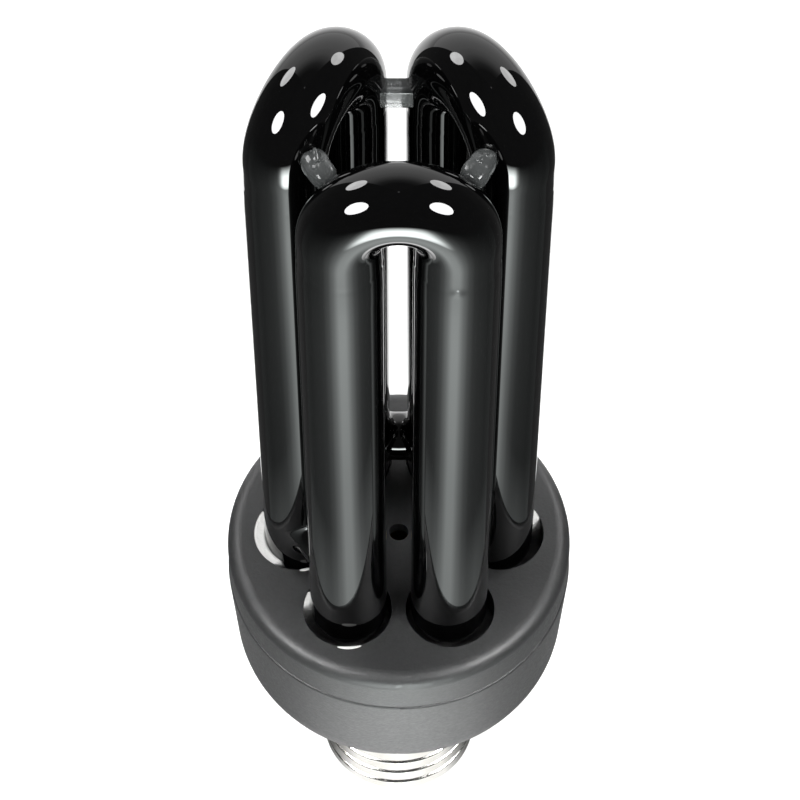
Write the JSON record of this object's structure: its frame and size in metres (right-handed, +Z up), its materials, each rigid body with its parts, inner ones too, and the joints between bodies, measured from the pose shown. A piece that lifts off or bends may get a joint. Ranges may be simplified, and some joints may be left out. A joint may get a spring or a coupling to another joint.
{
  "type": "black light bulb",
  "caption": "Compact fluorescent black light bulb: black glass U-tubes standing in a round moulded housing with a screw cap",
  "frame": {"origin": "on the lamp's axis at the tip of the centre contact, the lowest point of the cap", "axes": "+Z up the axis from the cap to the bends, -Y towards the front tube, +X to the right"},
  "size_m": [0.055, 0.055, 0.1813],
  "materials": {
    "black_glass": "polished black filter glass",
    "silicone": "translucent grey silicone",
    "cement": "rough white cement",
    "housing_plastic": "finely textured dark grey moulding",
    "cap_metal": "bright nickel plate",
    "cap_glass": "moulded black glass",
    "contact_brass": "plain stamped brass",
    "solder": "dull solder",
    "board": "paper laminate board",
    "capacitor_sleeve": "plain shrunk sleeve",
    "ferrite": "sintered ferrite",
    "bobbin_plastic": "plain moulding",
    "copper": "varnished copper wire",
    "component_black": "moulded epoxy",
    "resistor_body": "coated ceramic",
    "component_blue": "painted glass bead",
    "film_red": "dipped epoxy",
    "lead_metal": "tinned wire"
  },
  "bodies": {
    "root": {"discharge_tube": "black_glass", "bond_pad_back": "silicone", "bond_pad_left": "silicone", "bond_pad_right": "silicone", "tube_cement": "cement", "tube_cover": "housing_plastic", "housing_cup": "housing_plastic", "cap_shell": "cap_metal", "cap_insulator": "cap_glass", "centre_contact": "contact_brass", "contact_solder": "solder", "circuit_board": "board", "bulk_capacitor": "capacitor_sleeve", "choke_core": "ferrite", "choke_bobbin": "bobbin_plastic", "choke_winding": "copper", "drive_toroid": "ferrite", "toroid_winding": "copper", "switch_transistors": "component_black", "rectifier_diodes": "component_black", "resistors": "resistor_body", "trigger_diode": "component_blue", "resonant_capacitor": "film_red", "coupling_capacitor": "film_red", "fusible_resistor": "resistor_body", "live_lead": "lead_metal", "neutral_lead": "lead_metal", "tube_leads": "lead_metal"}
  },
  "joints": []
}
